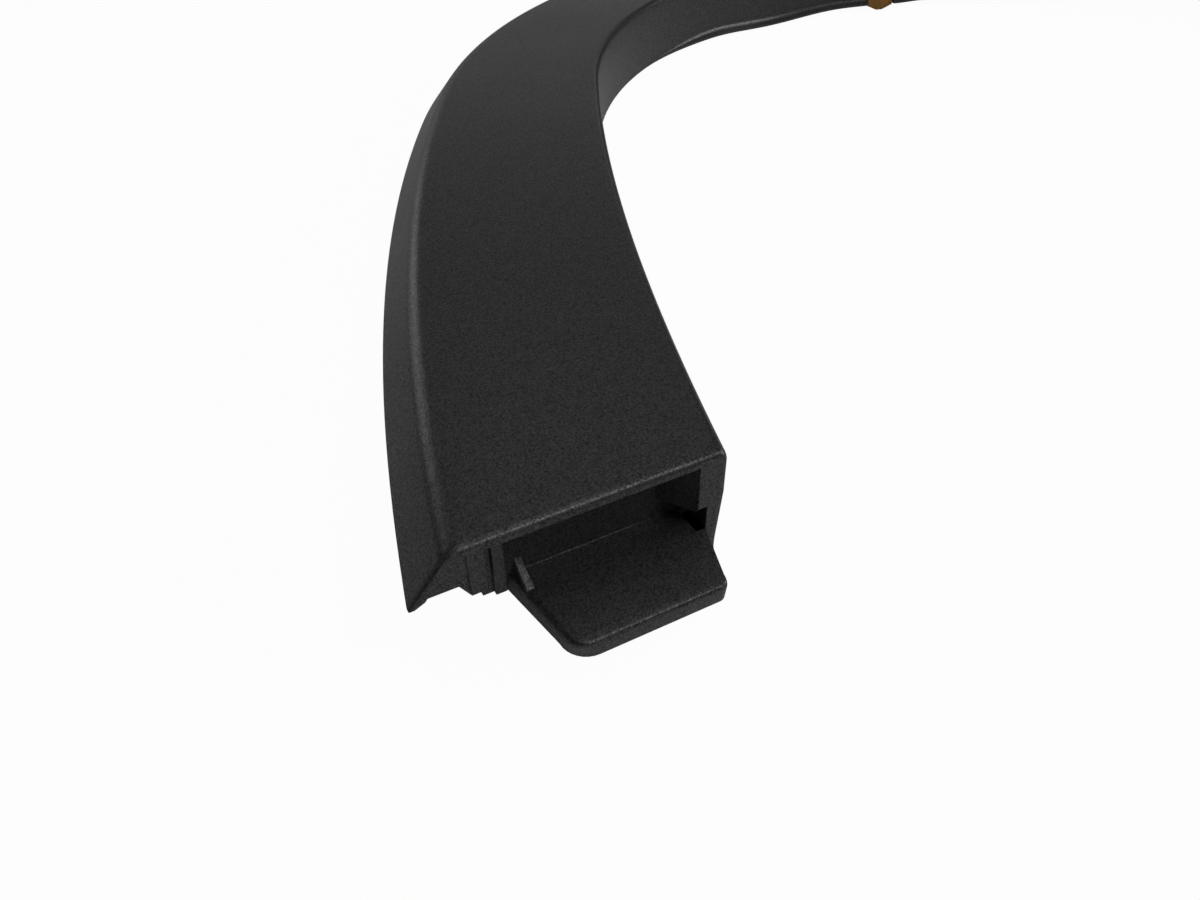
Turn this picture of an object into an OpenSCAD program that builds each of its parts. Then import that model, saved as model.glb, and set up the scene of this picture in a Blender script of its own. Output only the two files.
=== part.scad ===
// Wheel arch trim: one moulded arch with retaining clips.
// The part lies face up. X runs from leg to leg, Y up the arch, Z out of the face.
// Plan sizes are worked out from the top of the wheel opening, at the face's inner edge.

/* [Wheel opening] */
// Radius of the opening's crown, at the face
crown_r = 302; // [285:1:315]
// Angle from the top of the crown to where each leg starts
crown_half = 73.66; // [70:0.02:76]
// Radius of the legs' slight bow, at the face
leg_r = 1645; // [1400:5:1900]
// Length of each leg's inner edge
leg_len = 326; // [280:1:360]
// Slant of each leg's end against the line across the legs
end_slant = 10.3; // [6:0.1:14]
// Run over which the section turns to the end line
end_fan = 110; // [90:5:140]

/* [Outer edge] */
// Width of the flat face at the top of the arch
top_w = 60.6; // [56:0.2:66]
// How much larger the outer edge's radius is than on a face of even width
rim_extra = 33.8; // [25:0.2:45]
// Angle from the top to where the outer edge straightens
rim_half = 72; // [69:0.1:75]
// Radius of the outer edge along the legs
rim_leg_r = 1190.4; // [1100:0.2:1300]

/* [Section] */
// Thickness of the face and the bevel
wall = 3; // [2.4:0.1:3.6]
// How far the bevel runs outwards
bevel_run = 12.8; // [10:0.1:16]
// How far the bevel drops to the outer edge
bevel_drop = 15.5; // [12:0.1:18]
// Radius of the soft crease between face and bevel
crease_r = 5; // [3:0.5:7]
// Depth of the flange that lines the opening
flange_d = 41; // [36:0.5:46]
// Thickness of the flange
flange_t = 2.8; // [2.2:0.1:3.4]
// Outer radius of the corner between face and flange
corner_r = 3.5; // [3:0.1:4.5]
// Radius inside that corner
corner_in_r = 1.6; // [1:0.1:2.4]
// Reach of the small lip at the flange's foot
lip_reach = 5; // [3:0.5:7]
// Thickness of the lip's edge
lip_t = 1.6; // [1.2:0.1:2.2]
// Angle from the top where the lip starts to fade, on the joining end's side
lip_full = 25; // [20:1:35]
// Angle from the top where the lip has gone, on that side
lip_gone = 46; // [40:1:58]
// Angle from the top where the lip starts to fade, on the other side
lip_last = 6.6; // [6.6:0.1:9]
// Angle from the top where the lip has gone, on the other side
lip_end = 12; // [11:0.5:16]
// Extra depth of the broad lobe at the flange's foot
lobe_d = 3.4; // [0:0.1:4]
// Angle of the lobe's middle from the top
lobe_at = 16; // [15:0.5:25]
// Angle from the lobe's middle to where it ends
lobe_half = 14; // [10:0.5:16]
// How much shallower the flange is at the other shoulder
lift_d = 10.5; // [0:0.5:12]
// Angle from the top where the flange starts to grow shallower
lift_from = 8; // [8:0.5:14]
// Angle from the top where it is shallowest
lift_at = 53; // [45:1:56]
// Angle from the top where it has its full depth again
lift_to = 68; // [62:1:70]
// How far the flange's foot stands back from the opening at each end
foot_lean = 2.7; // [0:0.1:3]
// Run over which it comes back to upright
lean_run = 50; // [40:1:50]
// Depth below which the flange leans there
knee_d = 16; // [10:0.5:20]

/* [Ribs behind the face] */
// Width of the rib that seats on the body panel
seat_rib_t = 3; // [2:0.1:4]
// Distance of that rib from the crease
seat_rib_in = 5; // [3:0.5:8]
// Depth of that rib's edge below the face
seat_rib_d = 18.3; // [16:0.1:20]
// Thickness of the cross ribs
rib_t = 1.8; // [1.2:0.1:2.4]
// Depth of the cross ribs' edge below the face
rib_d = 15; // [10:0.5:17]
// Height that each cross rib's gusset leaves free above the flange's foot
gusset_gap = 7; // [4:0.5:12]
// Reach of each gusset along the face
gusset_reach = 13; // [8:0.5:18]
// Distance of the first cross rib from each end
rib_end_run = 52; // [40:1:60]

/* [Joining end] */
// Width of the end post beside the flange
post_w = 9.5; // [7:0.1:11]
// Depth of the pocket behind the end
pocket_d = 12; // [9:0.5:15]
// Distance of the pocket's outer side from the inner corner
pocket_w = 70; // [69:0.1:72]
// Thickness of the pocket's walls
pocket_t = 2.5; // [2:0.1:3]
// Radius of the end's upper edge
end_edge_r = 2.6; // [1.5:0.1:2.8]
// Depth of the tongue's top below the face
tongue_z = 29; // [26:0.5:31]
// How far the tongue reaches past the end
tongue_out = 21.5; // [16:0.5:26]
// Height of the tongue's rim
tongue_h = 7; // [5:0.1:8]
// Thickness of the tongue's top
tongue_t = 2.8; // [2:0.1:3.5]
// Distance of the tongue's outer side from the inner corner, at the pocket's back
tongue_far = 67.3; // [60:0.1:68]
// How much the tongue's outer side draws in at the front
tongue_far_taper = 5.1; // [0:0.1:6]
// Distance of its inner side from the inner corner, at the pocket's back
tongue_near = 2; // [2:0.1:5]
// How much the inner side draws in at the front
tongue_near_taper = 9.7; // [4:0.1:12]
// Radius of the tongue's corners
tongue_corner_r = 4; // [2:0.5:5]
// Radius along the tongue's upper edge
tongue_edge_r = 1.6; // [0.8:0.1:2.2]
// How far the second end panel is set back
panel_step = 4; // [2:0.5:6]
// Depth of the second panel's edge below the face
panel_low = 25; // [20:0.5:28]
// Height of the outer panel's edge above the bevel's foot
panel_lift = 2.3; // [1:0.1:4]
// How far the end's walls stand back from the end itself
end_inset = 0.3; // [0.2:0.1:1]
// Width of the notch in the post, beside the tongue
notch_w = 3.3; // [2:0.1:4]
// Height of that notch
notch_h = 9.2; // [6:0.1:11]
// Depth of that notch
notch_d = 9; // [6:0.5:10]
// Distance of the small gusset's outer side from the inner corner
gusset_far = 63; // [55:0.5:64]
// Width of that gusset on the tongue
gusset_t = 2.5; // [1.5:0.1:3]
// Rise of that gusset at the pocket's back
gusset_rise = 4; // [2:0.5:6]

/* [Body clips] */
// Angles of the body clips on the crown, from the top
body_clip_angles = [-56, -28, 0, 28, 56];
// Places of the body clips on each leg, as shares of its length from the crown
body_clip_shares = [0.284, 0.642];
// Length of a clip tower
tower_l = 22; // [20:0.5:26]
// Width of a clip tower
tower_w = 18; // [17:0.5:22]
// Thickness of a tower's walls
tower_t = 2; // [1.6:0.1:2.4]
// Depth of a tower's seat below the face
tower_d = 15; // [13:0.5:18]
// Radius of a clip's neck
neck_r = 3.2; // [2.8:0.1:3.6]
// Radius of a clip's head
head_r = 6.6; // [6:0.1:7]
// Thickness of a clip's head
head_t = 1.6; // [1.2:0.1:2]
// Radius of a clip's skirt
skirt_r = 8.6; // [7.5:0.1:9]
// Radius of a clip's stem
stem_r = 2.7; // [2.2:0.1:3]
// Radius over a clip's barbs
barb_r = 4.1; // [3.6:0.1:4.5]
// Height of one barb
barb_h = 2.7; // [2:0.1:3.2]
// Barbs on each stem
barbs = 4; // [3:1:5]

/* [Edge clips] */
// Distance of the outermost edge clips from the ends
edge_clip_end = 72; // [66:1:90]
// Place of the next edge clip on each leg, as a share of its length
edge_clip_share = 0.72; // [0.6:0.01:0.9]
// Angle of the crown's edge clip from the top
edge_clip_angle = 4.3; // [4:0.1:4.5]
// Width of an edge clip
edge_clip_w = 22; // [18:0.5:24]
// Height of an edge clip above the flange's foot
edge_clip_h = 14; // [10:0.5:18]
// Thickness of an edge clip's leaves
edge_clip_t = 2; // [1.6:0.1:2.4]
// How far an edge clip's blunt point reaches below the foot
edge_clip_low = 4.5; // [3.5:0.1:6]
// Width of the blunt point
edge_clip_tip = 5; // [3:0.5:8]
// Width of the window that an edge clip snaps into
window_w = 8; // [6:0.5:10]
// Height of that window
window_h = 3.6; // [3:0.1:5]
// Height of that window's lower edge above the flange's foot
window_up = 6.5; // [5.5:0.5:8]

/* [Fits] */
// Gap between a clip and its seat
fit = 0.3; // [0.2:0.05:0.4]

/* [Hidden] */
$fn = 48;
// Overlap that joins one feature to the next
weld = 1;
// Segments round the section's corner, crease, inner corner and lip
corner_n = 6;
crease_n = 4;
inner_n = 2;
lip_n = 4;
// Stations of the sweep on each leg and over the crown
leg_n = 12;
crown_n = 56;
// Length of a piece that only closes a rounded form
sliver = 0.01;
// Cut left beside an end's rounding
end_cut = 0.15;
bevel_a = atan2(bevel_drop, bevel_run);
crease_back = crease_r * tan(bevel_a / 2);
under_back = wall * tan(bevel_a / 2);

function dir(a) = [-sin(a), cos(a)];
function arc(c, r, from, to, n) =
    [for (i = [0:n]) c + r * [cos(from + (to - from) * i / n), sin(from + (to - from) * i / n)]];

// Centres of the four arcs of the left half, and the leg's inner end corner
rim_r = crown_r + top_w + rim_extra;
crown_c = [0, -crown_r];
leg_c = crown_c + (crown_r - leg_r) * dir(crown_half);
leg_turn = leg_len / leg_r * 180 / PI;
rim_c = [0, top_w - rim_r];
rim_leg_c = rim_c + (rim_r - rim_leg_r) * dir(rim_half);
end_in = leg_c + leg_r * dir(crown_half + leg_turn);
half_run = leg_len + crown_r * crown_half * PI / 180;

// Distance from p along the unit vector d to the circle round c
function reach(p, d, c, r) = -((p - c) * d) + sqrt(pow((p - c) * d, 2) - (p - c) * (p - c) + r * r);
// Distance from p along d to the crease: the crown's rim, or the leg's where the crown's has ended
function to_crease(p, d) =
    let (t = reach(p, d, rim_c, rim_r), q = p + t * d - rim_c)
    atan2(-q[0], q[1]) < rim_half ? t : reach(p, d, rim_leg_c, rim_leg_r);
// Angle from the top of a place on the left half's inner edge, by its run from the leg's end
function run_angle(run) =
    run < leg_len ? crown_half + (leg_len - run) / leg_r * 180 / PI : (half_run - run) / crown_r * 180 / PI;
function run_point(run) =
    run < leg_len ? leg_c + leg_r * dir(run_angle(run)) : crown_c + crown_r * dir(run_angle(run));

// Length of the end line from the inner corner to the crease
end_line = to_crease(end_in, -[cos(end_slant), sin(end_slant)]);

// Stations of the body clips and the edge clips: run along the opening from the left end
body_runs = concat(
    [for (i = [len(body_clip_shares) - 1:-1:0]) leg_len * (1 - body_clip_shares[i])],
    [for (a = body_clip_angles) half_run + a * PI / 180 * crown_r],
    [for (share = body_clip_shares) 2 * half_run - leg_len * (1 - share)]);
edge_runs = [
    edge_clip_end, leg_len * edge_clip_share, half_run + edge_clip_angle * PI / 180 * crown_r,
    2 * half_run - leg_len * edge_clip_share, 2 * half_run - edge_clip_end];
// Cross ribs stand half way between neighbouring body clips, and near both ends
rib_runs = concat(
    [rib_end_run],
    [for (i = [0:len(body_runs) - 2]) (body_runs[i] + body_runs[i + 1]) / 2],
    [2 * half_run - rib_end_run]);

// Height of the face above the ground, and the middle of the part's length
face_z = flange_d + edge_clip_low;
top_y = top_w + bevel_run;
tongue_corner = [-tongue_far + tongue_far_taper + tongue_corner_r, -tongue_out + tongue_corner_r];
low_y = end_in[1] + tongue_corner[0] * sin(end_slant) + tongue_corner[1] * cos(end_slant) - tongue_corner_r;
mid_y = (top_y + low_y) / 2;

// Width of the face at a run
function width_at(run) =
    let (r = min(run, 2 * half_run - run)) to_crease(run_point(r), dir(run_angle(r)));
// Lean of the leg's edges against the end's own direction
end_lean = tan(90 + end_slant - run_angle(0));
// A point in the middle of the bevel's wall, at a depth z below the face's level, for a face of width w
function in_bevel(w, z) = [w - z / bevel_drop * bevel_run - wall / sin(bevel_a) / 2, z];
panel_z = -bevel_drop + panel_lift;
// Gap between the flange and an edge clip's outer leaf, which lies across the flange's hollow side
leaf_gap = fit + edge_clip_w * edge_clip_w / crown_r / 8;

// Puts plan shapes, drawn from the face's level, where the part lies
module laid() {
    translate([0, -mid_y, face_z]) children();
}

// Puts a child at a run along the opening: X along the edge, Y away from the opening
module at_run(run) {
    left = run <= half_run;
    r = left ? run : 2 * half_run - run;
    p = run_point(r);
    a = run_angle(r);
    translate([left ? p[0] : -p[0], p[1], 0]) rotate([0, 0, left ? a : -a]) children();
}

// Puts a child at the left leg's end: X along the end line, with zero at the inner corner, Y into the leg
module at_end() {
    translate([end_in[0], end_in[1], 0]) rotate([0, 0, end_slant]) children();
}

module both_sides() {
    children();
    mirror([1, 0, 0]) children();
}

function eased(x) = let (c = min(1, max(0, x))) c * c * (3 - 2 * c);
// Angle of a run from the top, less than zero on the joining end's side
function top_angle(run) = run <= half_run ? -run_angle(run) : run_angle(2 * half_run - run);
// Reach of the lip at a run: full over the crown, fading to none on both sides
function lip_at(run) =
    let (a = top_angle(run))
    lip_reach * eased((lip_gone + a) / (lip_gone - lip_full)) * eased((lip_end - a) / (lip_end - lip_last));
// Depth of the flange's foot at a run, with its lobe and its shallower half
function foot_at(run) =
    let (a = top_angle(run), x = (a + lobe_at) / lobe_half)
    flange_d + (abs(x) < 1 ? lobe_d * (1 + cos(180 * x)) / 2 : 0)
    - lift_d * (eased((a - lift_from) / (lift_at - lift_from)) - eased((a - lift_at) / (lift_to - lift_at)));
// How far the foot stands back at a run
function lean_at(run) = foot_lean * eased(1 - min(run, 2 * half_run - run) / lean_run);

// The moulding's section: X is the distance from the face's inner edge, Y the height from the face.
// w is the width of the flat face, l the reach of the lip, d the depth of the foot and b its standing back
function leaned(q, d, b) = [q[0] + b * (-q[1] - knee_d) / (d - knee_d), q[1]];
function section(w, l, d, b) = concat(
    [leaned([-l, -d], d, b)],
    [for (i = [0:lip_n]) let (t = 90 * i / lip_n)
        leaned([-l * (1 - sin(t)), -d + lip_t + lip_reach * (1 - cos(t))], d, b)],
    [[0, -knee_d]],
    arc([corner_r, -corner_r], corner_r, 180, 90, corner_n),
    arc([w - crease_back, -crease_r], crease_r, 90, 90 - bevel_a, crease_n),
    [[w + bevel_run, -bevel_drop], [w + bevel_run - wall / sin(bevel_a), -bevel_drop], [w - under_back, -wall]],
    [for (q = [[0, wall], [0, seat_rib_d], [seat_rib_t, seat_rib_d], [seat_rib_t, wall]])
        [w - seat_rib_in - q[0], -q[1]]],
    arc([flange_t + corner_in_r, -wall - corner_in_r], corner_in_r, 90, 180, inner_n),
    [[flange_t, -knee_d], leaned([flange_t, -d], d, b)]);

// The section's place on the left half, by its run along the opening. Near the end it turns to the end line
function section_turn(run) =
    run_angle(run) + (90 + end_slant - run_angle(0)) * eased(1 - run / end_fan);
function placed(run) =
    let (r = min(run, 2 * half_run - run), side = run <= half_run ? 1 : -1,
         p = run_point(r), d = dir(section_turn(r)), w = to_crease(p, d))
    [for (q = section(w, lip_at(run), foot_at(run), lean_at(run))) [side * (p[0] + q[0] * d[0]), p[1] + q[0] * d[1], q[1]]];

// Runs of the stations: wide apart on the legs, close on the crown
leg_runs = [for (i = [0:leg_n - 1]) leg_len * i / leg_n];
sweep_runs = concat(
    leg_runs,
    [for (i = [0:crown_n]) leg_len + (2 * half_run - 2 * leg_len) * i / crown_n],
    [for (i = [1:leg_n]) 2 * half_run - leg_len + leg_len * i / leg_n]);

// Triangles that close one end of the sweep, by the section's own corners
function cap_triangles() =
    let (k = lip_n + 2, a = k + 1, b = a + corner_n, c = b + 1, e = c + crease_n, u = e + 3, r = u + 1,
         g = r + 4, m = g + inner_n, y = m + 1, z = y + 1, h = floor(inner_n / 2) + g)
    concat(
        [for (i = [0:k - 1]) [i, i + 1, z]], [[k, y, z], [k, a, y], [a, m, y]],
        [for (i = [h:m - 1]) [a, i, i + 1]], [for (i = [a:b - 1]) [i, i + 1, h]],
        [for (i = [g:h - 1]) [b, i, i + 1]], [[b, c, r + 3], [b, r + 3, g]],
        [[c, r, r + 3], [r, r + 1, r + 2], [r, r + 2, r + 3], [c, u, r]],
        [for (i = [c:e - 1]) [i, i + 1, u]], [[e, e + 1, u], [e + 1, e + 2, u]]);

module shell() {
    rings = [for (run = sweep_runs) placed(run)];
    n = len(rings[0]);
    last = (len(rings) - 1) * n;
    polyhedron(
        points = [for (ring = rings) each ring],
        faces = concat(
            [for (t = cap_triangles()) [t[2], t[1], t[0]]],
            [for (i = [0:len(rings) - 2], j = [0:n - 1]) let (k = (j + 1) % n)
                each [[i * n + j, (i + 1) * n + k, (i + 1) * n + j], [i * n + j, i * n + k, (i + 1) * n + k]]],
            [for (t = cap_triangles()) [last + t[0], last + t[1], last + t[2]]]));
}

// A slab across the leg, from a profile drawn in distance from the inner edge and height
module across(t) {
    rotate([90, 0, 90]) translate([0, 0, -t / 2]) linear_extrude(t) children();
}

// Rib behind the face, from the flange to the bevel, with a gusset down the flange
module cross_rib(w, d) {
    across(rib_t) polygon([
        [flange_t / 2, -d + gusset_gap], [flange_t / 2, -wall / 2], in_bevel(w, -wall / 2),
        in_bevel(w, panel_z), [w - seat_rib_in - seat_rib_t / 2, panel_z],
        [w - seat_rib_in - seat_rib_t / 2, -rib_d], [flange_t + gusset_reach, -rib_d]]);
}

// Tower for a body clip: three walls and a seat plate whose slot lets the clip slide in from the side
module tower(w) {
    slot = neck_r + fit;
    translate([0, w / 2, 0]) difference() {
        translate([-tower_l / 2, -tower_w / 2, -tower_d]) cube([tower_l, tower_w, tower_d - wall / 2]);
        translate([-tower_l / 2 + tower_t, -tower_w / 2 + tower_t, -tower_d + tower_t])
            cube([tower_l, tower_w - 2 * tower_t, tower_d - tower_t - wall * 3 / 4]);
        translate([0, 0, -tower_d - weld]) cylinder(r = slot, h = tower_t + 2 * weld);
        translate([0, -slot, -tower_d - weld]) cube([tower_l, 2 * slot, tower_t + 2 * weld]);
    }
}

// Upright wall of the end: a profile in distance along the end line and height, standing back by y
module end_wall(y, t) {
    translate([0, y + t, 0]) rotate([90, 0, 0]) linear_extrude(t) children();
}

// Post beside the flange, with the notch that opens the pocket's inner side
module post() {
    back = pocket_d + pocket_t;
    difference() {
        hull() {
            for (q = [[-wall / 2, 0], [-knee_d, 0], [-flange_d + end_inset, foot_lean]])
                translate([0, 0, q[0]]) linear_extrude(sliver) polygon([
                    [-post_w, end_inset], [end_lean * end_inset - flange_t / 2 - q[1], end_inset],
                    [end_lean * back - flange_t / 2 - q[1], back], [-post_w, back]]);
        }
        translate([-post_w - weld, end_inset - weld, -tongue_z])
            cube([notch_w + weld, notch_d + weld, notch_h]);
    }
}

// Pocket behind the joining end: the outer panel, the panel set back beside it, and the back wall
module pocket() {
    step_x = -pocket_w - pocket_t - panel_step;
    rib_x = -end_line + seat_rib_in;
    end_wall(end_inset, pocket_t) polygon([
        [step_x, -wall / 2], [step_x, -seat_rib_d], [rib_x, -seat_rib_d], [rib_x - wall, panel_z],
        [-in_bevel(end_line, panel_z)[0], panel_z],
        [-end_line + crease_back / 2, -wall / 2]]);
    translate([step_x, end_inset + weld, -seat_rib_d]) cube([pocket_t, panel_step + weld, seat_rib_d - wall / 2]);
    end_wall(end_inset + panel_step, pocket_t) polygon([
        [step_x + weld, -wall / 2], [step_x + weld, -panel_low], [-pocket_w, -panel_low], [-pocket_w, -wall / 2]]);
    translate([-pocket_w - pocket_t, end_inset + panel_step + weld, -panel_low])
        cube([pocket_t, pocket_d - panel_step, panel_low - wall / 2]);
    end_wall(pocket_d, pocket_t) polygon([
        [-pocket_w - pocket_t, -wall / 2], [-pocket_w - pocket_t, -panel_low], [-pocket_w, -panel_low - weld],
        [-tongue_far + weld, -tongue_z - tongue_h], [-post_w + weld, -tongue_z - tongue_h],
        [-post_w + weld, -wall / 2]]);
}

// Corner centres of the tongue's plan, which is drawn in at the front
tongue_back = pocket_d + pocket_t / 2;
function tongue_plan(inset) = [
    [-tongue_far + inset, tongue_back], [tongue_corner[0], tongue_corner[1]],
    [-tongue_near - tongue_near_taper - tongue_corner_r, tongue_corner[1]], [-tongue_near - inset, tongue_back]];

// Tongue that joins the sill's trim: a flat top with rounded edges over a rim, hollow from below
module tongue() {
    steps = 4;
    front = [0, 1, 1, 0];
    difference() {
        hull() {
            for (i = [0:steps], j = [0:3]) let (a = 90 * i / steps, q = tongue_plan(weld)[j])
                translate([q[0], q[1], -tongue_z - tongue_edge_r * (1 - sin(a))])
                    cylinder(r = (front[j] ? tongue_corner_r : weld) - tongue_edge_r * (1 - cos(a)) * (front[j] ? 1 : weld / 2),
                        h = sliver, $fn = 32);
            for (j = [0:3]) let (q = tongue_plan(weld)[j])
                translate([q[0], q[1], -tongue_z - tongue_h])
                    cylinder(r = front[j] ? tongue_corner_r : weld, h = sliver, $fn = 32);
        }
        translate([0, 0, -tongue_z - tongue_h - weld]) linear_extrude(tongue_h - tongue_t + weld) polygon([
            [-tongue_far + tongue_t, pocket_d - weld], [-tongue_far + tongue_far_taper + tongue_t, -tongue_out + tongue_t],
            [-tongue_near - tongue_near_taper - tongue_t, -tongue_out + tongue_t], [-post_w + weld, pocket_d - weld]]);
    }
}

// Small gusset on the tongue, from the pocket's back wall
module tongue_gusset() {
    foot = -tongue_z - weld;
    translate([-gusset_far, 0, 0]) rotate([90, 0, 90]) linear_extrude(gusset_t) polygon([
        [tongue_back, foot], [gusset_rise, foot], [gusset_rise, -tongue_z], [tongue_back, -tongue_z + gusset_rise]]);
}

// Plain wall that closes the other end
module plain_end() {
    end_wall(end_inset, pocket_t) polygon([
        [-flange_t / 2 - foot_lean, -flange_d + end_inset], [-flange_t / 2, -knee_d],
        [-flange_t / 2, -corner_r], [-corner_r, -wall / 2],
        [-end_line + crease_back / 2, -wall / 2], [-in_bevel(end_line, panel_z)[0], panel_z],
        [-end_line + seat_rib_in - weld, -seat_rib_d + weld], [-gusset_reach - flange_t, -seat_rib_d + weld],
        [-post_w - foot_lean, -flange_d + end_inset]]);
}

// Rounding of the face's edge at an end, to be cut away
module end_rounding() {
    c = end_edge_r - end_cut;
    translate([-end_line - 2 * weld, 0, 0]) rotate([90, 0, 90]) linear_extrude(end_line + 6 * weld) polygon(concat(
        [[-weld, weld], [-weld, -c - end_cut]], arc([c, -c], end_edge_r, 180, 90, 4), [[c + end_cut, weld]]));
}

// Gap in the lip for an edge clip, to be cut away
module lip_gap() {
    w = edge_clip_w / 2 + fit;
    intersection() {
        translate([-w, -lip_reach - weld, -flange_d - weld]) cube([2 * w, lip_reach + 2 * weld, lip_t + lip_reach + 2 * weld]);
        translate([0, -crown_r, -flange_d - 2 * weld]) cylinder(r = crown_r - fit / 3, h = flange_d);
    }
}

module window() {
    translate([-window_w / 2, -weld, -flange_d + window_up]) cube([window_w, flange_t + 2 * weld, window_h]);
}

module arch_moulding() {
    color("#2e3033") laid() difference() {
        union() {
            shell();
            at_end() union() {
                post();
                pocket();
                tongue();
                tongue_gusset();
            }
            mirror([1, 0, 0]) at_end() plain_end();
            for (run = rib_runs) at_run(run) cross_rib(width_at(run), foot_at(run));
            for (run = body_runs) at_run(run) tower(width_at(run));
        }
        both_sides() at_end() end_rounding();
        for (run = edge_runs) at_run(run) window();
        for (run = edge_runs) if (lip_at(run) > 0) at_run(run) lip_gap();
    }
}

// Push-in clip of a tower: head, neck, skirt and barbed stem
module body_clip(i) {
    run = body_runs[i - 1];
    seat = -tower_d + tower_t + fit;
    skirt = -tower_d - fit;
    stem = skirt - 2 * head_t - weld / 2;
    tip = stem - barbs * barb_h;
    color("#8a5a14") laid() at_run(run) translate([0, width_at(run) / 2, 0]) rotate_extrude() polygon(concat(
        [[0, seat + head_t], [head_r - weld / 2, seat + head_t], [head_r, seat + head_t - weld / 2],
         [head_r, seat], [neck_r, seat], [neck_r, skirt], [skirt_r, skirt], [skirt_r, skirt - weld],
         [stem_r + weld, skirt - 2 * head_t], [stem_r, stem]],
        [for (k = [0:barbs - 1]) each [[barb_r, stem - k * barb_h - weld / 4], [barb_r, stem - k * barb_h - weld],
         [stem_r, stem - (k + 1) * barb_h]]],
        [[stem_r / 2, tip - weld], [0, tip - weld]]));
}

// Spring clip over the flange's foot: two leaves, a blunt keel below, and a tab in the flange's window
module edge_clip(i) {
    half = edge_clip_w / 2;
    top = -flange_d + edge_clip_h;
    out = leaf_gap + edge_clip_t;
    inn = flange_t + fit + edge_clip_t;
    low = -flange_d + window_up + fit;
    high = -flange_d + window_up + window_h - fit;
    color("#8a5a14") laid() at_run(edge_runs[i - 1]) {
        difference() {
            translate([0, inn, 0]) rotate([90, 0, 0]) linear_extrude(inn + out) polygon([
                [-half + weld, top], [half - weld, top], [half, top - weld], [half, -flange_d - weld],
                [edge_clip_tip / 2, -flange_d - edge_clip_low], [-edge_clip_tip / 2, -flange_d - edge_clip_low],
                [-half, -flange_d - weld], [-half, top - weld]]);
            translate([-half - weld, -leaf_gap, -flange_d - fit])
                cube([edge_clip_w + 2 * weld, leaf_gap + flange_t + fit, edge_clip_h + 2 * weld]);
        }
        translate([-window_w / 2 + fit, 0, 0]) rotate([90, 0, 90]) linear_extrude(window_w - 2 * fit) polygon([
            [inn - edge_clip_t / 2, low], [flange_t / 3, low], [flange_t / 3, low + weld],
            [inn - edge_clip_t, high], [inn - edge_clip_t / 2, high]]);
    }
}

arch_moulding();
for (i = [1:len(body_runs)]) body_clip(i);
for (i = [1:len(edge_runs)]) edge_clip(i);
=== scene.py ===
"""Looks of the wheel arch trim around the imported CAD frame.

Lengths are in millimetres and angles in degrees until they become vertices, which are in metres.
"""
import math

import bpy
from mathutils import Matrix, Vector

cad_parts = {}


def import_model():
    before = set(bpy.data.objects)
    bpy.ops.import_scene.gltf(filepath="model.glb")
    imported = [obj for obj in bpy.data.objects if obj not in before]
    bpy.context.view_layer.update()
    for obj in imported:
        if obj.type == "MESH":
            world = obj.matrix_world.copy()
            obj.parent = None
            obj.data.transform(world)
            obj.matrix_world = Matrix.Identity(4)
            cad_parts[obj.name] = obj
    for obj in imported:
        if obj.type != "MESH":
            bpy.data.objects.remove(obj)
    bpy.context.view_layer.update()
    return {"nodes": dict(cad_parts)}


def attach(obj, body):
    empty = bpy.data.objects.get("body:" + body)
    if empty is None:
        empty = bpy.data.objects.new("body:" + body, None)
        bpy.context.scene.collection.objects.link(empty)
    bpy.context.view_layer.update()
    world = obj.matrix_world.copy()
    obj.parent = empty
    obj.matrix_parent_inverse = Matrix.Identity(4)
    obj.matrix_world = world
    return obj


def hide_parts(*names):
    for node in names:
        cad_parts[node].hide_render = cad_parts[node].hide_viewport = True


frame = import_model()
scene = bpy.context.scene
scene.view_settings.view_transform = "Standard"

# Opening's edge: a crown arc and a leg arc on each side, the end line's slant and the run where it fans out
CROWN_R = 302.0
CROWN_HALF = 73.66
LEG_R = 1645.0
LEG_LEN = 326.0
END_SLANT = 10.3
END_FAN = 110.0
# Crease: the face's width over the crown, and the arcs of the rim
TOP_W = 60.6
RIM_R = 396.4
RIM_HALF = 72.0
RIM_LEG_R = 1190.4
# Wall, crease, bevel and the bevel's slim foot
WALL = 3.0
CREASE_R = 9.0
BEVEL_RUN = 12.8
BEVEL_DROP = 15.5
FOOT_EDGE = 2.0
# Rounding of the end's edge over the face, and of its other edges
EDGE_R = 2.6
EDGE_SMALL = 0.8
# Flange, its corners, and the lean of its lower part near the ends
FLANGE_D = 41.0
FLANGE_T = 2.8
CORNER_R = 3.5
CORNER_IN_R = 1.6
FOOT_LEAN = 2.3
LEAN_RUN = 50.0
KNEE_D = 16.0
# Lip along the flange's foot, with the angles from the top where it swells and dies out
LIP_REACH = 5.0
LIP_T = 1.6
LIP_FULL = 25.0
LIP_GONE = 46.0
LIP_LAST = 6.6
LIP_END = 12.0
# Lobe of the flange's foot, and the shallower stretch on the far shoulder
LOBE_D = 3.4
LOBE_AT = 16.0
LOBE_HALF = 14.0
LIFT_D = 10.5
LIFT_FROM = 8.0
LIFT_AT = 53.0
LIFT_TO = 68.0
# Seat rib under the crease, cross ribs and the clip towers
SEAT_T = 3.0
SEAT_IN = 5.0
SEAT_D = 18.3
RIB_T = 1.8
RIB_D = 15.0
RIB_END_RUN = 52
RIB_FOOT_Z = -13.2
GUSSET_GAP = 7.0
GUSSET_REACH = 13.0
TOWER_L = 22.0
TOWER_W = 18.0
TOWER_T = 2.0
TOWER_D = 15.0
SLOT_R = 3.5
# Joining end: post with its notch, and the pocket with the ramp at its inner side
POST_W = 9.5
NOTCH_W = 3.3
NOTCH_H = 9.2
NOTCH_D = 9.0
POCKET_D = 12.0
POCKET_W = 70.0
POCKET_T = 2.5
RAMP_W = 8.0
RAMP_LOW = 1.2
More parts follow.
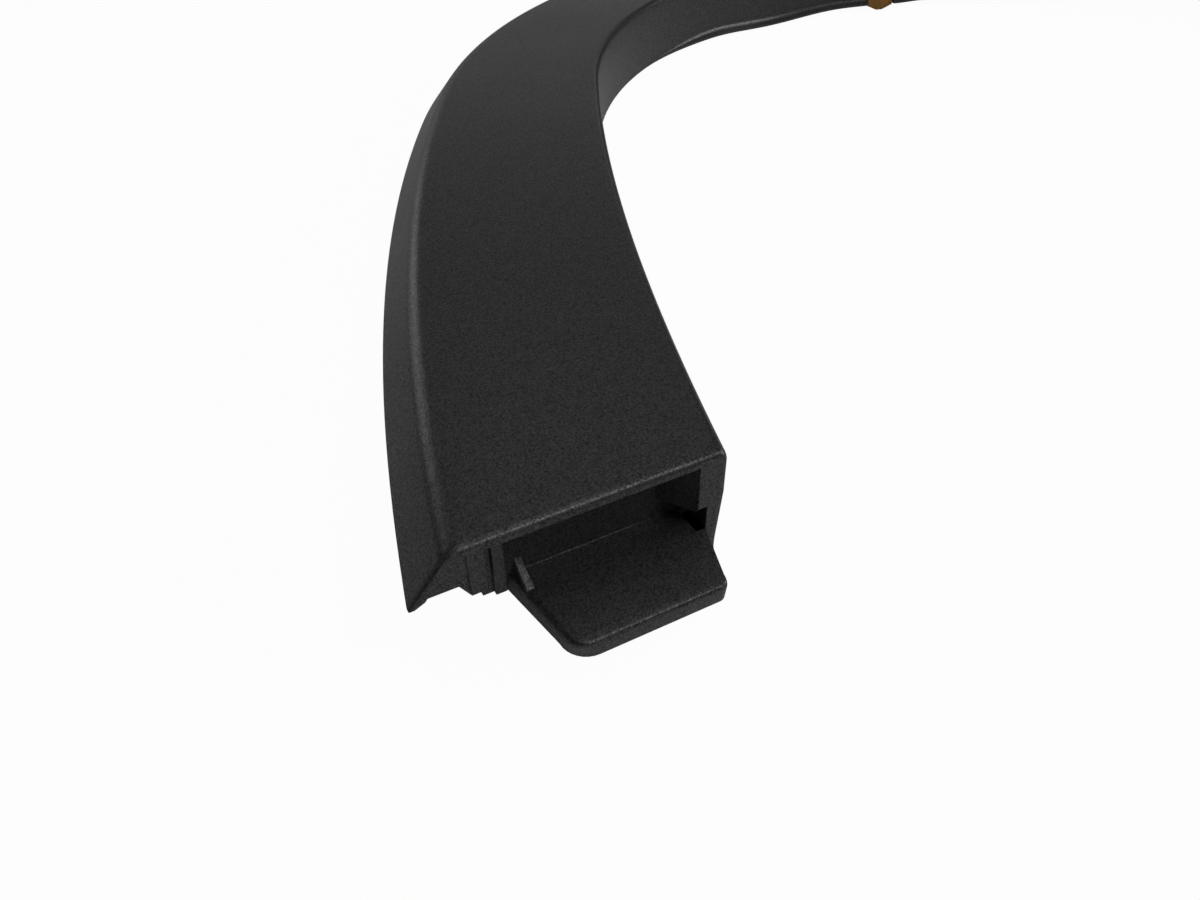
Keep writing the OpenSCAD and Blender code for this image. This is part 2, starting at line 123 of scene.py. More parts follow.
# Joining end: stepped panels beside the pocket, with a groove between them
PANEL_IN = 0.5
PANEL_STEP = 2.5
PANEL_LOW = 25.0
PANEL_DROP = 0.5
PANEL_W = 6.0
GROOVE_W = 2.4
GROOVE_D = 1.5
FAR_BACK_LOW = 5.0
# Tongue: height, reach, tapered sides, corner radii, edge radii and the front's draft
TONGUE_Z = 29.0
TONGUE_OUT = 21.5
TONGUE_H = 7.0
TONGUE_T = 2.8
TONGUE_FAR = 67.3
FAR_TAPER = 5.1
TONGUE_NEAR = 2.0
NEAR_TAPER = 9.3
NEAR_R = 3.0
FAR_R = 8.5
TOP_R = 2.0
TONGUE_EDGE = 1.6
FAR_EDGE = 3.0
FRONT_DRAFT = 0.7
UNDER_GAP = 0.3
# Gusset and bead on the tongue
GUSSET_FAR = 64.6
GUSSET_T = 2.7
GUSSET_OUT = 3.0
GUSSET_RISE = 6.0
BEAD = 0.7
# Spring clip on the crown, the gap beside it, and the run over which the lip stops there
EDGE_CLIP_W = 22.0
EDGE_CLIP_LOW = 4.5
EDGE_CLIP_ANGLE = 4.3
CLIP_GAP = 0.3
LIP_STOP = 0.4
# Push-in clips: shares of the leg from the crown, and the angle between those on the crown
LEG_CLIP_SHARES = (0.284, 0.642)
CROWN_CLIP_STEP = 28
# Set-back of plain ends, and of the post's front so that it doesn't lie in the flange's end
INSET = 0.3
FLUSH = 0.02
# Corner radius of the tongue in the frame, which sets the frame's middle
FRAME_CORNER_R = 4.0
FACE_Z = FLANGE_D + EDGE_CLIP_LOW
BEVEL_A = math.degrees(math.atan2(BEVEL_DROP, BEVEL_RUN))
HALF_RUN = LEG_LEN + CROWN_R * math.radians(CROWN_HALF)
TOP_CLIP_RUN = HALF_RUN + CROWN_R * math.radians(EDGE_CLIP_ANGLE)


def sin(a):
    return math.sin(math.radians(a))


def cos(a):
    return math.cos(math.radians(a))


def way(a):
    return Vector((-sin(a), cos(a)))


def arc(c, r, a, b, n):
    return [(c[0] + r * cos(a + (b - a) * i / n), c[1] + r * sin(a + (b - a) * i / n)) for i in range(n + 1)]


CROWN_C = Vector((0, -CROWN_R))
LEG_C = CROWN_C + (CROWN_R - LEG_R) * way(CROWN_HALF)
RIM_C = Vector((0, TOP_W - RIM_R))
RIM_LEG_C = RIM_C + (RIM_R - RIM_LEG_R) * way(RIM_HALF)
END_IN = LEG_C + LEG_R * way(CROWN_HALF + math.degrees(LEG_LEN / LEG_R))


def reach(p, d, c, r):
    q = p - c
    return -q.dot(d) + math.sqrt(q.dot(d) ** 2 - q.dot(q) + r * r)


def to_crease(p, d):
    t = reach(p, d, RIM_C, RIM_R)
    q = p + t * d - RIM_C
    on_crown = math.degrees(math.atan2(-q[0], q[1])) < RIM_HALF
    return t if on_crown else reach(p, d, RIM_LEG_C, RIM_LEG_R)


def run_angle(run):
    if run >= LEG_LEN:
        return math.degrees((HALF_RUN - run) / CROWN_R)
    return CROWN_HALF + math.degrees((LEG_LEN - run) / LEG_R)


def run_point(run):
    c, r = (CROWN_C, CROWN_R) if run >= LEG_LEN else (LEG_C, LEG_R)
    return c + r * way(run_angle(run))


END_LINE = to_crease(END_IN, -Vector((cos(END_SLANT), sin(END_SLANT))))
LOW_CORNER = Vector((-TONGUE_FAR + FAR_TAPER + FRAME_CORNER_R, -TONGUE_OUT + FRAME_CORNER_R))
LOW = END_IN[1] + LOW_CORNER[0] * sin(END_SLANT) + LOW_CORNER[1] * cos(END_SLANT) - FRAME_CORNER_R
MID_Y = (TOP_W + BEVEL_RUN + LOW) / 2


def row(x, y, z):
    """A place in plan, with its height from the face, in the row's metres."""
    return Vector((x, y - MID_Y, z + FACE_Z)) / 1000


def at_run(run):
    """Places a child by its distance along the opening's edge, away from it, and height."""
    left = run <= HALF_RUN
    r = run if left else 2 * HALF_RUN - run
    p, a = run_point(r), run_angle(r) * (1 if left else -1)
    px = p[0] if left else -p[0]
    return lambda x, y, z: row(px + x * cos(a) - y * sin(a), p[1] + x * sin(a) + y * cos(a), z)


def at_end(side=1):
    """Places a child at an end: x along the end line from the inner corner, y into the leg."""
    return lambda x, y, z: row(side * (END_IN[0] + x * cos(END_SLANT) - y * sin(END_SLANT)),
                               END_IN[1] + x * sin(END_SLANT) + y * cos(END_SLANT), z)


def width_at(run):
    r = min(run, 2 * HALF_RUN - run)
    return to_crease(run_point(r), way(run_angle(r)))


LEFT_RUNS = [LEG_LEN * (1 - share) for share in reversed(LEG_CLIP_SHARES)]
CROWN_RUNS = [HALF_RUN + math.radians(i * CROWN_CLIP_STEP) * CROWN_R for i in range(-2, 3)]
BODY_RUNS = LEFT_RUNS + CROWN_RUNS + [2 * HALF_RUN - run for run in reversed(LEFT_RUNS)]
MID_RUNS = [(a + b) / 2 for a, b in zip(BODY_RUNS, BODY_RUNS[1:])]
RIB_RUNS = [RIB_END_RUN] + MID_RUNS + [2 * HALF_RUN - RIB_END_RUN]


# Materials
def nodes_of(name):
    m = bpy.data.materials.new(name)
    m.use_nodes = True
    t = m.node_tree
    t.nodes.clear()
    out = t.nodes.new("ShaderNodeOutputMaterial")
    return m, t, out


def grained_plastic(name, colour, rough):
    """Dark moulded plastic with a fine speckled grain and faint changes of gloss."""
    m, t, out = nodes_of(name)
    n, ln = t.nodes.new, t.links.new
    bsdf = n("ShaderNodeBsdfPrincipled")
    ln(bsdf.outputs[0], out.inputs[0])
    coord = n("ShaderNodeTexCoord")
    cells = n("ShaderNodeTexVoronoi")
    cells.inputs["Scale"].default_value = 2300
    fine = n("ShaderNodeTexNoise")
    fine.inputs["Scale"].default_value = 2600
    fine.inputs["Detail"].default_value = 3
    broad = n("ShaderNodeTexNoise")
    broad.inputs["Scale"].default_value = 14
    broad.inputs["Detail"].default_value = 4
    for tex in (cells, fine, broad):
        ln(coord.outputs["Object"], tex.inputs["Vector"])
    relief = n("ShaderNodeMath")
    relief.operation = "MULTIPLY_ADD"
    relief.inputs[1].default_value = 0.6
    ln(cells.outputs["Distance"], relief.inputs[0])
    ln(fine.outputs["Fac"], relief.inputs[2])
    bump = n("ShaderNodeBump")
    bump.inputs["Strength"].default_value = 0.35
    bump.inputs["Distance"].default_value = 0.00006
    ln(relief.outputs[0], bump.inputs["Height"])
    ln(bump.outputs[0], bsdf.inputs["Normal"])
    speckle = n("ShaderNodeSeparateColor")
    ln(cells.outputs["Color"], speckle.inputs[0])
    tint = n("ShaderNodeValToRGB")
    tint.color_ramp.elements[0].color = (*[c * 0.35 for c in colour], 1)
    tint.color_ramp.elements[1].color = (*[c * 1.65 for c in colour], 1)
    ln(speckle.outputs[0], tint.inputs[0])
    ln(tint.outputs[0], bsdf.inputs["Base Color"])
    shine = n("ShaderNodeMapRange")
    shine.inputs["To Min"].default_value = 0.1
    shine.inputs["To Max"].default_value = 0.9
    ln(speckle.outputs[1], shine.inputs["Value"])
    ln(shine.outputs[0], bsdf.inputs["Specular IOR Level"])
    gloss = n("ShaderNodeMapRange")
    gloss.inputs["To Min"].default_value = rough - 0.05
    gloss.inputs["To Max"].default_value = rough + 0.05
    ln(broad.outputs["Fac"], gloss.inputs["Value"])
    ln(gloss.outputs[0], bsdf.inputs["Roughness"])
    return m


def amber_nylon(name):
    """Slightly clear amber plastic with faint flow marks."""
    m, t, out = nodes_of(name)
    n, ln = t.nodes.new, t.links.new
    bsdf = n("ShaderNodeBsdfPrincipled")
    ln(bsdf.outputs[0], out.inputs[0])
    bsdf.inputs["Roughness"].default_value = 0.42
    bsdf.inputs["Subsurface Weight"].default_value = 0.25
    bsdf.inputs["Subsurface Radius"].default_value = (0.004, 0.002, 0.0006)
    bsdf.inputs["Subsurface Scale"].default_value = 0.5
    coord = n("ShaderNodeTexCoord")
    flow = n("ShaderNodeTexNoise")
    flow.inputs["Scale"].default_value = 220
    flow.inputs["Detail"].default_value = 3
    ln(coord.outputs["Object"], flow.inputs["Vector"])
    tint = n("ShaderNodeValToRGB")
    tint.color_ramp.elements[0].position = 0.3
    tint.color_ramp.elements[0].color = (0.22, 0.095, 0.008, 1)
    tint.color_ramp.elements[1].position = 0.75
    tint.color_ramp.elements[1].color = (0.34, 0.16, 0.016, 1)
    ln(flow.outputs["Fac"], tint.inputs[0])
    ln(tint.outputs[0], bsdf.inputs["Base Color"])
    bump = n("ShaderNodeBump")
    bump.inputs["Strength"].default_value = 0.15
    bump.inputs["Distance"].default_value = 0.0002
    ln(flow.outputs["Fac"], bump.inputs["Height"])
    ln(bump.outputs[0], bsdf.inputs["Normal"])
    return m


PLASTIC = grained_plastic("grained_plastic", (0.034, 0.0345, 0.0355), 0.36)
NYLON = amber_nylon("amber_nylon")


# Meshes
def piece(name, verts, faces, material, angle=32, bevel=0.0):
    mesh = bpy.data.meshes.new(name)
    mesh.from_pydata([tuple(v) for v in verts], [], faces)
    mesh.validate()
    mesh.update()
    obj = bpy.data.objects.new(name, mesh)
    scene.collection.objects.link(obj)
    mesh.materials.append(material)
    if bevel:
        mod = obj.modifiers.new("edges", "BEVEL")
        mod.width = bevel / 1000
        mod.segments = 2
        mod.limit_method = "ANGLE"
        mod.angle_limit = math.radians(40)
    mesh.shade_smooth()
    mesh.set_sharp_from_angle(angle=math.radians(angle))
    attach(obj, "root")
    return obj


def flat(a, b, u):
    """A profile in plan, drawn out in height."""
    return a, b, u


def upright(a, b, u):
    """A profile of x and z, drawn out along y."""
    return a, u, b


def crosswise(a, b, u):
    """A profile of y and z, drawn out along x."""
    return u, a, b


class Solids:
    """Gathers prisms and other closed forms into one mesh."""

    def __init__(self):
        self.verts, self.faces = [], []

    def add(self, verts, faces):
        base = len(self.verts)
        self.verts += verts
        self.faces += [[base + i for i in f] for f in faces]

    def prism(self, place, profile, lo, hi, order):
        """A profile drawn out from lo to hi. order says how (a, b, t) of the profile becomes (x, y, z)."""
        n = len(profile)
        pts = [place(*order(a, b, t)) for t in (lo, hi) for a, b in profile]
        faces = [list(range(n)), list(range(2 * n - 1, n - 1, -1))]
        faces += [[i, i + n, (i + 1) % n + n, (i + 1) % n] for i in range(n)]
        self.add(pts, faces)

    def stack(self, place, rings):
        """Loops of equal length, one over the other, closed at both ends."""
        n = len(rings[0])
        faces = [list(range(n)), [(len(rings) - 1) * n + j for j in range(n - 1, -1, -1)]]
        for low in range(0, (len(rings) - 1) * n, n):
            faces += [[low + j, low + n + j, low + n + (j + 1) % n, low + (j + 1) % n] for j in range(n)]
        self.add([place(*q) for ring in rings for q in ring], faces)

    def across(self, place, profile, t):
        self.prism(place, profile, -t / 2, t / 2, crosswise)

    def wall(self, place, profile, y, t):
        self.prism(place, profile, y, y + t, upright)

    def block(self, place, lo, hi):
        plan = [(lo[0], lo[1]), (hi[0], lo[1]), (hi[0], hi[1]), (lo[0], hi[1])]
        self.prism(place, plan, lo[2], hi[2], flat)


def eased(x):
    c = min(1.0, max(0.0, x))
    return c * c * (3 - 2 * c)


def top_angle(run):
    return -run_angle(run) if run <= HALF_RUN else run_angle(2 * HALF_RUN - run)


def lip_at(run):
    """Reach of the lip, which is left out beside the crown's spring clip."""
    a = top_angle(run)
    swell = eased((LIP_GONE + a) / (LIP_GONE - LIP_FULL))
    fade = eased((LIP_END - a) / (LIP_END - LIP_LAST))
    off = abs(run - TOP_CLIP_RUN) - EDGE_CLIP_W / 2 - CLIP_GAP
    return LIP_REACH * swell * fade * min(1.0, max(0.03, off / LIP_STOP))


def foot_at(run):
    """Depth of the flange's foot."""
    a = top_angle(run)
    x = min(1.0, abs((a + LOBE_AT) / LOBE_HALF))
    rise = eased((a - LIFT_FROM) / (LIFT_AT - LIFT_FROM))
    fall = eased((a - LIFT_AT) / (LIFT_TO - LIFT_AT))
    return FLANGE_D + LOBE_D * (1 + cos(180 * x)) / 2 - LIFT_D * (rise - fall)


def lean_at(run):
    return FOOT_LEAN * eased(1 - min(run, 2 * HALF_RUN - run) / LEAN_RUN)


def section(w, lip, end, depth, lean):
    """The moulding's section, with its outer skin drawn in by end (0 to 1) towards the rounded end edge."""
    back = CREASE_R * math.tan(math.radians(BEVEL_A / 2))
    under = WALL * math.tan(math.radians(BEVEL_A / 2))
    r = EDGE_R * end
    small = EDGE_SMALL * end

    def leaned(x, y):
        return x + lean * (-y - KNEE_D) / (depth - KNEE_D), y

    foot = [leaned(-lip, -depth)]
    for i in range(7):
        x = -lip * (1 - sin(15 * i)) + small * i / 6
        foot.append(leaned(x, -depth + LIP_T + LIP_REACH * (1 - cos(15 * i))))
    foot.append((small, -KNEE_D))
    corner = []
    for i, (x, y) in enumerate(arc((CORNER_R, -CORNER_R), CORNER_R, 180, 90, 12)):
        d = small + (r - small) * eased(i / 12)
        a = 180 - 90 * i / 12
        corner.append((x - d * cos(a), y - d * sin(a)))
    crease = []
    for i, (x, y) in enumerate(arc((w - back, -CREASE_R), CREASE_R, 90, 90 - BEVEL_A, 8)):
        d = r + (small - r) * eased(i / 8)
        a = 90 - BEVEL_A * i / 8
        crease.append((x - d * cos(a), y - d * sin(a)))
    nx, ny = sin(BEVEL_A), cos(BEVEL_A)
    rim = w + BEVEL_RUN
    bevel = [(rim - small * nx, -BEVEL_DROP), (rim - FOOT_EDGE, -BEVEL_DROP),
             (rim - WALL / nx - FOOT_EDGE * ny, -BEVEL_DROP + FOOT_EDGE * nx), (w - under, -WALL)]
    (x0, y0), (x1, y1) = corner[-1], crease[0]
    face = [(x0 + (x1 - x0) * i / 6, y0 + (y1 - y0) * i / 6) for i in range(1, 6)]
    outer, inner = w - SEAT_IN, w - SEAT_IN - SEAT_T
    seat = [(outer, -WALL), (outer, -SEAT_D), (inner, -SEAT_D), (inner, -WALL)]
    fillet = arc((FLANGE_T + CORNER_IN_R, -WALL - CORNER_IN_R), CORNER_IN_R, 90, 180, 4)
    inside = [(FLANGE_T, -KNEE_D), leaned(FLANGE_T, -depth)]
    return foot + corner + face + crease + bevel + seat + fillet + inside


def ring_runs():
    """Places of the sections along the opening, close together at the ends and beside the crown's clip."""
    ends = [0.0] + [EDGE_R * (1 - sin(90 - 15 * k)) for k in range(1, 7)] + [EDGE_R + 4]
    leg = [LEG_LEN * i / 40 for i in range(1, 41)]
    crown = [LEG_LEN + (HALF_RUN - LEG_LEN) * i / 60 for i in range(1, 61)]
    half = ends + [r for r in leg if r > EDGE_R + 6] + crown
    runs = half + [2 * HALF_RUN - r for r in reversed(half[:-1])]
    edge = EDGE_CLIP_W / 2 + CLIP_GAP
    beside = [TOP_CLIP_RUN + side * (edge + d) for side in (-1, 1) for d in (0, LIP_STOP)]
    return sorted(set([round(r, 4) for r in runs] + beside))


def shell():
    """Face, bevel, flange, lip and seat rib, swept along the opening."""
    rings = []
    for run in ring_runs():
        r = min(run, 2 * HALF_RUN - run)
        side = 1 if run <= HALF_RUN else -1
        a = run_angle(r) + (90 + END_SLANT - run_angle(0)) * eased(1 - r / END_FAN)
        p, d = run_point(r), way(a)
        t = max(0.0, 1 - r / EDGE_R)
        end = 1 - math.sqrt(max(0.0, 1 - t * t))
        profile = section(to_crease(p, d), lip_at(run), end, foot_at(run), lean_at(run))
        rings.append([row(side * (p[0] + q * d[0]), p[1] + q * d[1], z) for q, z in profile])
    n = len(rings[0])
    verts = [v for ring in rings for v in ring]
    faces = [[i * n + j, i * n + (j + 1) % n, (i + 1) * n + (j + 1) % n, (i + 1) * n + j]
             for i in range(len(rings) - 1) for j in range(n)]
    last = (len(rings) - 1) * n
    faces += [list(range(n - 1, -1, -1)), [last + j for j in range(n)]]
    return piece("moulding_shell", verts, faces, PLASTIC)


def in_bevel(w, z):
    """A point in the middle of the bevel's wall, at height z."""
    return (w - z / BEVEL_DROP * BEVEL_RUN - WALL / sin(BEVEL_A) / 2, z)


def back_ribs():
    """Cross ribs and clip towers behind the face."""
    s = Solids()
    for run in RIB_RUNS:
        w = width_at(run)
        mid = w - SEAT_IN - SEAT_T / 2
        rib = [(FLANGE_T / 2, -foot_at(run) + GUSSET_GAP), (FLANGE_T / 2, -WALL / 2), in_bevel(w, -WALL / 2),
               in_bevel(w, RIB_FOOT_Z), (mid, RIB_FOOT_Z), (mid, -RIB_D), (FLANGE_T + GUSSET_REACH, -RIB_D)]
        s.across(at_run(run), rib, RIB_T)
    for run in BODY_RUNS:
        tower(s, at_run(run), width_at(run) / 2)
    return piece("moulding_ribs", s.verts, s.faces, PLASTIC, bevel=0.25)


def tower(s, place, m):
    """Three walls and a plate with a slot for a push-in clip's neck, at m from the opening's edge."""
    x, y, top, lap = TOWER_L / 2, TOWER_W / 2, -WALL / 2, 0.5
    s.block(place, (-x, m - y, -TOWER_D), (x, m - y + TOWER_T, top))
    s.block(place, (-x, m + y - TOWER_T, -TOWER_D), (x, m + y, top))
    s.block(place, (-x, m - y + TOWER_T / 2, -TOWER_D), (-x + TOWER_T, m + y - TOWER_T / 2, top))
    bite = arc((0, m), SLOT_R, 270, 90, 16)
    plate = [(x, m + SLOT_R), (x, m + y - lap), (-x + lap, m + y - lap), (-x + lap, m - y + lap),
             (x, m - y + lap), (x, m - SLOT_R)] + bite
    s.prism(place, plate, -TOWER_D + FLUSH, -TOWER_D + TOWER_T, flat)


def post(s, e):
    """The post at the flange, whose inner side leans with it below the knee, with a notch over the tongue."""
    back = POCKET_D + POCKET_T
    lean = math.tan(math.radians(90 + END_SLANT - run_angle(0)))

    def side(y, z):
        drawn_in = FOOT_LEAN * max(0.0, -z - KNEE_D) / (FLANGE_D - KNEE_D)
        return lean * y - FLANGE_T / 2 - drawn_in, y

    def full(z):
        return [(-POST_W, FLUSH), side(FLUSH, z), side(back, z), (-POST_W, back)]

    def notched(z):
        return [(-POST_W + NOTCH_W, FLUSH), side(FLUSH, z), side(back, z), (-POST_W, back),
                (-POST_W, NOTCH_D), (-POST_W + NOTCH_W, NOTCH_D)]

    notch_top, lap = -TONGUE_Z + NOTCH_H, 0.5
    for loop, heights in ((full, (-WALL / 2, -KNEE_D, notch_top)), (full, (-TONGUE_Z, -FLANGE_D + INSET)),
                          (notched, (notch_top + lap, -TONGUE_Z - lap))):
        s.stack(e, [[(x, y, z) for x, y in loop(z)] for z in heights])


def panels(s, e):
    """Two panels beside the pocket, the inner one standing back, with a groove between them."""
    top = -WALL / 2
    seat, low, foot_z = SEAT_D + PANEL_DROP, PANEL_LOW + PANEL_DROP, RIB_FOOT_Z - PANEL_DROP
    step_x, rib_x = -POCKET_W - PANEL_W, -END_LINE + SEAT_IN
    inner_y = PANEL_IN + PANEL_STEP
    s.wall(e, [(step_x, top), (step_x, -seat), (rib_x, -seat), (rib_x - WALL, foot_z),
               (-in_bevel(END_LINE, foot_z)[0], foot_z), (-END_LINE + 1.2, top)], PANEL_IN, POCKET_T)
    s.block(e, (step_x - POCKET_T, PANEL_IN + 1, -seat), (step_x, inner_y + 3, top))
    groove = (step_x - 1, step_x + GROOVE_W + 1, inner_y + GROOVE_D)
    inner = (step_x + GROOVE_W, -POCKET_W, inner_y)
    for lo, hi, y in (groove, inner):
        s.wall(e, [(lo, top), (lo, -low), (hi, -low), (hi, top)], y, POCKET_T)
    s.block(e, (-POCKET_W - POCKET_T, inner_y + 1, -low), (-POCKET_W, POCKET_D + 1.3, top))


def pocket_walls(s, e):
    """The pocket's back wall, the ramp at its inner side, and the bead and gusset on the tongue."""
    top, foot, rear = -WALL / 2, -TONGUE_Z - 1, POCKET_D + POCKET_T / 2
    ramp = [(-POST_W + 0.3, FLUSH + 0.1), (-POST_W - RAMP_W, POCKET_D + 0.5), (-POST_W + 0.3, POCKET_D + 0.5)]
    s.prism(e, ramp, -TONGUE_Z + NOTCH_H - RAMP_LOW, top, flat)
    back_low, floor_z = -PANEL_LOW - FAR_BACK_LOW, -TONGUE_Z - TONGUE_H
    s.wall(e, [(-POCKET_W - POCKET_T, top), (-POCKET_W - POCKET_T, back_low), (-POCKET_W, back_low - 1),
               (-TONGUE_FAR + 1, floor_z), (-POST_W + 1, floor_z), (-POST_W + 1, top)], POCKET_D, POCKET_T)
    bead = [(POCKET_D + 1, foot), (POCKET_D - BEAD, foot), (POCKET_D - BEAD, -TONGUE_Z + BEAD / 2),
            (POCKET_D + 1, -TONGUE_Z + BEAD)]
    s.prism(e, bead, 1 - GUSSET_FAR, -POST_W - 3, crosswise)
    gusset = [(rear, foot), (GUSSET_OUT, foot), (GUSSET_OUT, -TONGUE_Z), (rear, -TONGUE_Z + GUSSET_RISE)]
    s.prism(e, gusset, -GUSSET_FAR, -GUSSET_FAR + GUSSET_T, crosswise)


def plain_end(s, f):
    """The wall that closes the far leg."""
    low, seat = -FLANGE_D + INSET, -SEAT_D + 1
    s.wall(f, [(-FLANGE_T / 2 - FOOT_LEAN, low), (-FLANGE_T / 2, -KNEE_D), (-FLANGE_T / 2, -CORNER_R),
               (-CORNER_R, -WALL / 2), (-END_LINE + 1.2, -WALL / 2),
               (-in_bevel(END_LINE, RIB_FOOT_Z)[0], RIB_FOOT_Z), (-END_LINE + SEAT_IN - 1, seat),
               (-GUSSET_REACH - FLANGE_T, seat), (-POST_W - FOOT_LEAN, low)], INSET, POCKET_T)


def both_ends():
    s = Solids()
    e = at_end()
    post(s, e)
    panels(s, e)
    pocket_walls(s, e)
    plain_end(s, at_end(-1))
    return piece("moulding_end", s.verts, s.faces, PLASTIC, bevel=0.3)


def tongue():
    """Flat top with rounded edges over a rim, hollow below. The outer corner is rounder at its foot."""
    rear = POCKET_D + POCKET_T / 2

    def outline(side, front, corner):
        """A loop set in from the outer side and the front, with the outer corner's radius."""
        outer = (-TONGUE_FAR + FAR_TAPER + side + corner, -TONGUE_OUT + front + corner)
        inner = (-TONGUE_NEAR - NEAR_TAPER - NEAR_R, -TONGUE_OUT + front + NEAR_R)
        corners = arc(outer, corner, 180, 270, 8) + arc(inner, NEAR_R, 270, 360, 8)
        return [(-TONGUE_FAR + side, rear)] + corners + [(-TONGUE_NEAR, rear)]

    def joined(low, high, inward=False):
        """Faces between two loops, given by the numbers of their first points."""
        quads = [[low + j, low + (j + 1) % n, high + (j + 1) % n, high + j] for j in range(n)]
        return [[a, d, c, b] for a, b, c, d in quads] if inward else quads

    n = len(outline(0, 0, FAR_R))
    # How far each point has the outer side's broad edge, from 1 on that side to 0 along the front
    broad = [1.0] * 5 + [1 - j / 4 for j in range(1, 5)] + [0.0] * (n - 9)
    e = at_end()
    foot = -TONGUE_Z - TONGUE_H
    verts = [e(x, y, foot) for x, y in outline(0, 0, FAR_R)]
    for k in range(7):
        c, d = 1 - cos(15 * k), 1 - sin(15 * k)
        loop = outline(FAR_EDGE * c, TONGUE_EDGE * c - FRONT_DRAFT, FAR_R + (TOP_R - FAR_R) * (k + 1) / 7)
        verts += [e(x, y, -TONGUE_Z - d * (TONGUE_EDGE + (FAR_EDGE - TONGUE_EDGE) * b))
                  for (x, y), b in zip(loop, broad)]
    faces = []
    for i in range(7):
        faces += joined(i * n, (i + 1) * n)
    faces.append([7 * n + j for j in range(n)])
    rim = TONGUE_T - UNDER_GAP
    under = outline(rim, rim, FAR_R - TONGUE_T)
    base = len(verts)
    for z in (foot, -TONGUE_Z - TONGUE_T):
        verts += [e(x, y, z) for x, y in under]
    faces += joined(base, base + n, inward=True)
    faces.append([base + n + j for j in range(n - 1, -1, -1)])
    faces += joined(0, base, inward=True)
    return piece("moulding_tongue", verts, faces, PLASTIC, angle=40)


for part in (shell(), back_ribs(), both_ends(), tongue()):
    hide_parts("arch_moulding")
for name, obj in frame["nodes"].items():
    obj.data.materials.clear()
    obj.data.materials.append(PLASTIC if name == "arch_moulding" else NYLON)
    obj.data.shade_smooth()
    obj.data.set_sharp_from_angle(angle=math.radians(30))


# Stage, lights and camera
def stage():
    """A plain pale floor that the camera sees as white."""
    m, t, out = nodes_of("pale_floor")
    n, ln = t.nodes.new, t.links.new
    diffuse = n("ShaderNodeBsdfDiffuse")
    diffuse.inputs["Color"].default_value = (0.9, 0.9, 0.9, 1)
    glow = n("ShaderNodeEmission")
    glow.inputs["Color"].default_value = (1, 1, 1, 1)
    mix = n("ShaderNodeMixShader")
    path = n("ShaderNodeLightPath")
    share = n("ShaderNodeMath")
    share.operation = "MULTIPLY"
    share.inputs[1].default_value = 0.97
    ln(path.outputs["Is Camera Ray"], share.inputs[0])
    ln(share.outputs[0], mix.inputs[0])
    ln(diffuse.outputs[0], mix.inputs[1])
    ln(glow.outputs[0], mix.inputs[2])
    ln(mix.outputs[0], out.inputs[0])
    mesh = bpy.data.meshes.new("floor")
    mesh.from_pydata([(-6, -6, 0), (6, -6, 0), (6, 6, 0), (-6, 6, 0)], [], [[0, 1, 2, 3]])
    floor = bpy.data.objects.new("floor", mesh)
    mesh.materials.append(m)
    scene.collection.objects.link(floor)


def light(name, place, target, size, watts):
    data = bpy.data.lights.new(name, "AREA")
    data.shape = "RECTANGLE"
    data.size, data.size_y = size
    data.energy = watts
    obj = bpy.data.objects.new(name, data)
    obj.location = place
    obj.rotation_euler = (Vector(target) - Vector(place)).to_track_quat("-Z", "Y").to_euler()
    scene.collection.objects.link(obj)


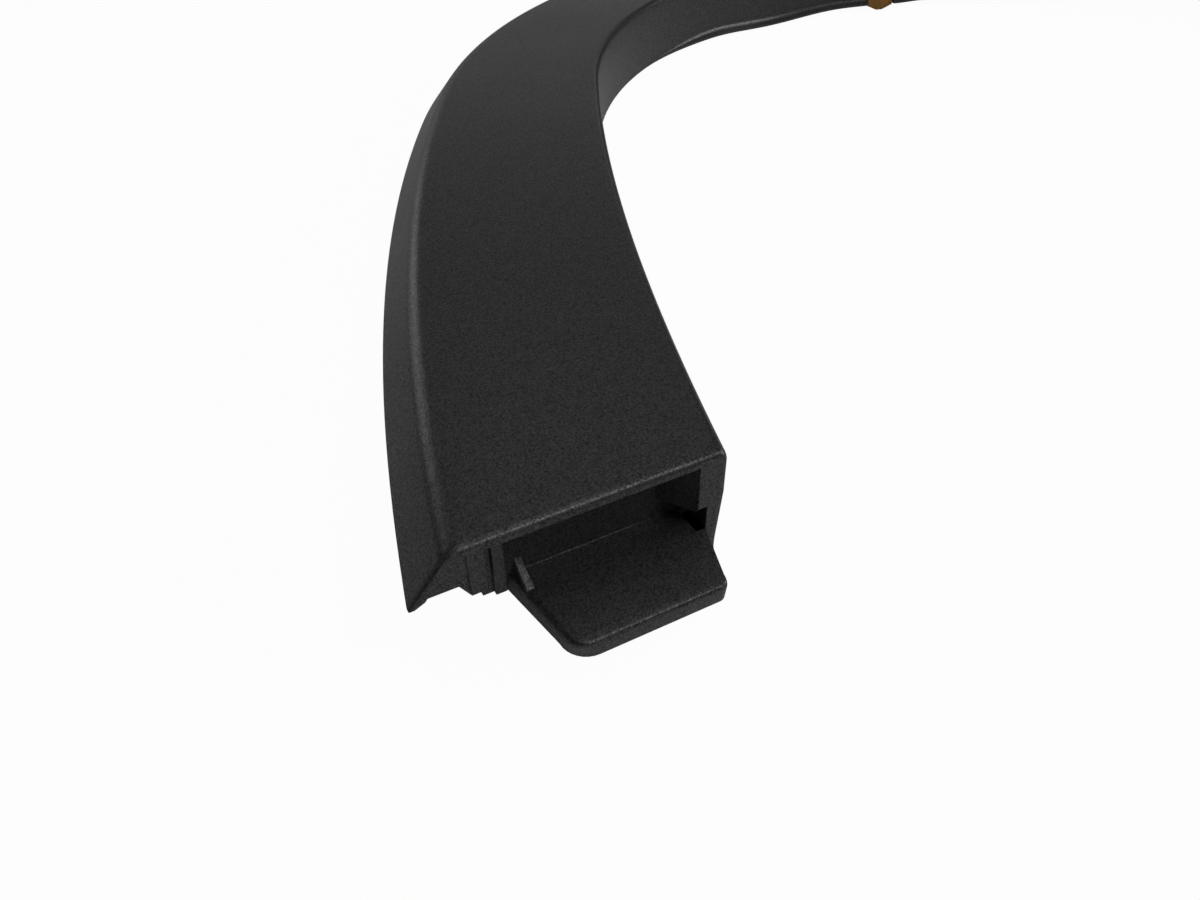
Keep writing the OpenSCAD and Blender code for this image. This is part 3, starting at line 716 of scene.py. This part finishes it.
def world():
    w = bpy.data.worlds.new("studio")
    scene.world = w
    w.use_nodes = True
    t = w.node_tree
    t.nodes.clear()
    n, ln = t.nodes.new, t.links.new
    out = n("ShaderNodeOutputWorld")
    plain = n("ShaderNodeBackground")
    white = n("ShaderNodeBackground")
    mix = n("ShaderNodeMixShader")
    path = n("ShaderNodeLightPath")
    plain.inputs["Color"].default_value = (0.9, 0.95, 1, 1)
    plain.inputs["Strength"].default_value = 0.01
    white.inputs["Strength"].default_value = 1
    white.inputs["Color"].default_value = (1, 1, 1, 1)
    ln(path.outputs["Is Camera Ray"], mix.inputs[0])
    ln(plain.outputs[0], mix.inputs[1])
    ln(white.outputs[0], mix.inputs[2])
    ln(mix.outputs[0], out.inputs[0])


# Camera, from the fit of the plan to the photograph: angles in radians, focal length in photograph pixels
HEADING = 0.2907
PITCH = 0.7056
ROLL = -0.0194
FOCAL_PX = 905.70
PHOTO_W = 1200
SENSOR_W = 36
EYE = row(-442.33, -715.71, 169.62)


def camera():
    right = Vector((math.cos(HEADING), -math.sin(HEADING), 0))
    level = math.cos(PITCH)
    ahead = Vector((math.sin(HEADING) * level, math.cos(HEADING) * level, -math.sin(PITCH)))
    up = right.cross(ahead)
    x = math.cos(ROLL) * right + math.sin(ROLL) * up
    y = -math.sin(ROLL) * right + math.cos(ROLL) * up
    data = bpy.data.cameras.new("camera")
    data.sensor_width = SENSOR_W
    data.lens = FOCAL_PX * SENSOR_W / PHOTO_W
    data.clip_start = 0.01
    cam = bpy.data.objects.new("camera", data)
    scene.collection.objects.link(cam)
    cam.matrix_world = Matrix((
        (x.x, y.x, -ahead.x, EYE.x), (x.y, y.y, -ahead.y, EYE.y), (x.z, y.z, -ahead.z, EYE.z), (0, 0, 0, 1)))
    scene.camera = cam


# Soft lights: name, place in metres, width and height, watts. All of them point at the near leg.
AIM = (-0.3, -0.2, 0)
LIGHTS = (
    ("over", (0.4, -1.25, 1.8), (1.3, 0.7), 10.5),
    ("top", (-0.2, 0, 2.2), (1.4, 1.4), 5.0),
    ("front", (-0.5, -2.0, 0.45), (1.5, 0.6), 1.8),
    ("right", (1.8, -0.2, 0.9), (1.0, 0.8), 12.5),
    ("back_low", (0.2, 2.2, 0.5), (2.0, 0.5), 1.6),
    ("back_high", (0.2, 1.2, 1.6), (1.5, 1.0), 1.2),
    ("back_left", (-1.2, 1.6, 0.7), (1.0, 0.7), 3.0),
)
stage()
world()
for name, place, size, watts in LIGHTS:
    light(name, place, AIM, size, watts)
camera()
